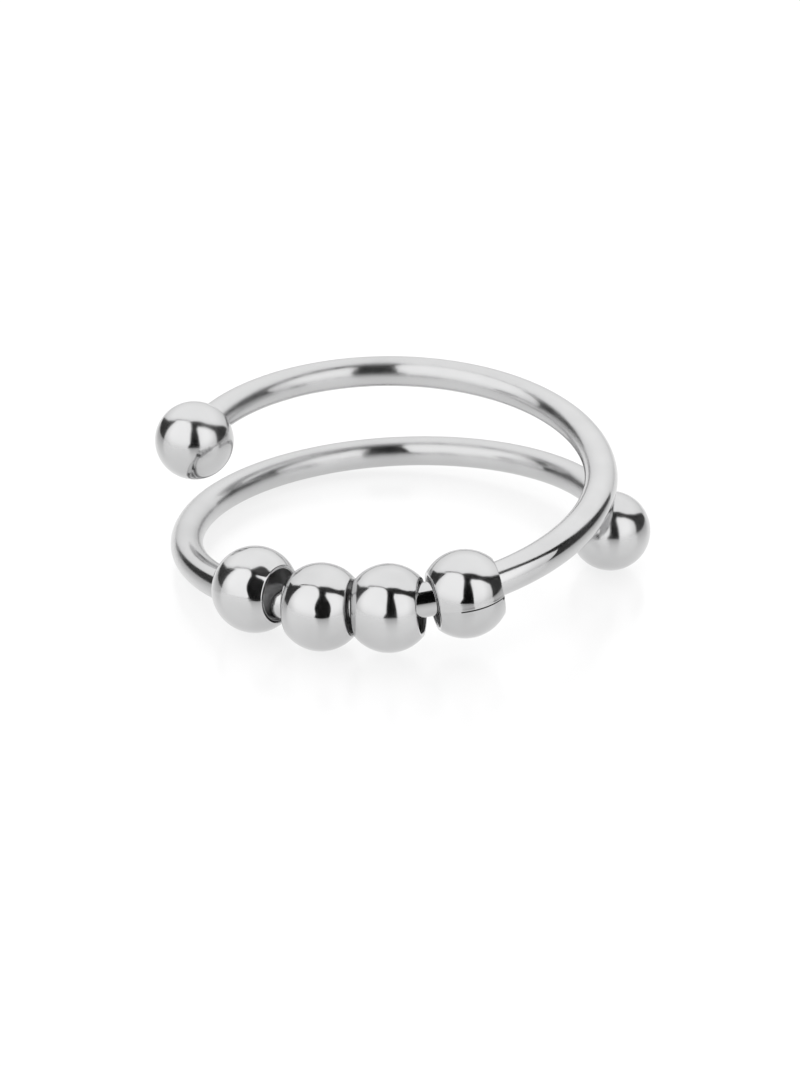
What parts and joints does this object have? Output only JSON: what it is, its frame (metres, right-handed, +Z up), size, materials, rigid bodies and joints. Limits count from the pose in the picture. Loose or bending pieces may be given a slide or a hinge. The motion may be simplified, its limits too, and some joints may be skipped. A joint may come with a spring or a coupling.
{
  "type": "spinner ring",
  "caption": "Open coil ring of round wire with a ball on each end and loose hollow beads that spin on the wire at the front.",
  "frame": {"origin": "middle of the ring's outline, on the surface that the ring lies on", "axes": "+X to the right along the front of the ring, +Y away from the beads, +Z up, across the turns of the coil"},
  "size_m": [0.023, 0.0228, 0.0069],
  "materials": {
    "wire": "polished stainless steel",
    "beads": "polished stainless steel"
  },
  "bodies": {
    "shank": {"shank": "wire"},
    "bead_1": {"bead_1": "beads"},
    "bead_2": {"bead_2": "beads"},
    "bead_3": {"bead_3": "beads"},
    "bead_4": {"bead_4": "beads"}
  },
  "joints": [
    {"name": "bead_1_spin", "type": "hinge", "parent": "shank", "child": "bead_1", "pos_m": [-0.00636, -0.00723, 0.0019], "axis": [0.8104, -0.5755, 0.1098], "continuous": true},
    {"name": "bead_2_spin", "type": "hinge", "parent": "shank", "child": "bead_2", "pos_m": [-0.00344, -0.00893, 0.0019], "axis": [0.9642, -0.2413, 0.1102], "continuous": true},
    {"name": "bead_3_spin", "type": "hinge", "parent": "shank", "child": "bead_3", "pos_m": [-0.00055, -0.00955, 0.00215], "axis": [0.9796, -0.1656, 0.1142], "continuous": true},
    {"name": "bead_4_spin", "type": "hinge", "parent": "shank", "child": "bead_4", "pos_m": [0.00268, -0.00915, 0.00262], "axis": [0.9646, 0.2162, 0.1511], "continuous": true}
  ]
}
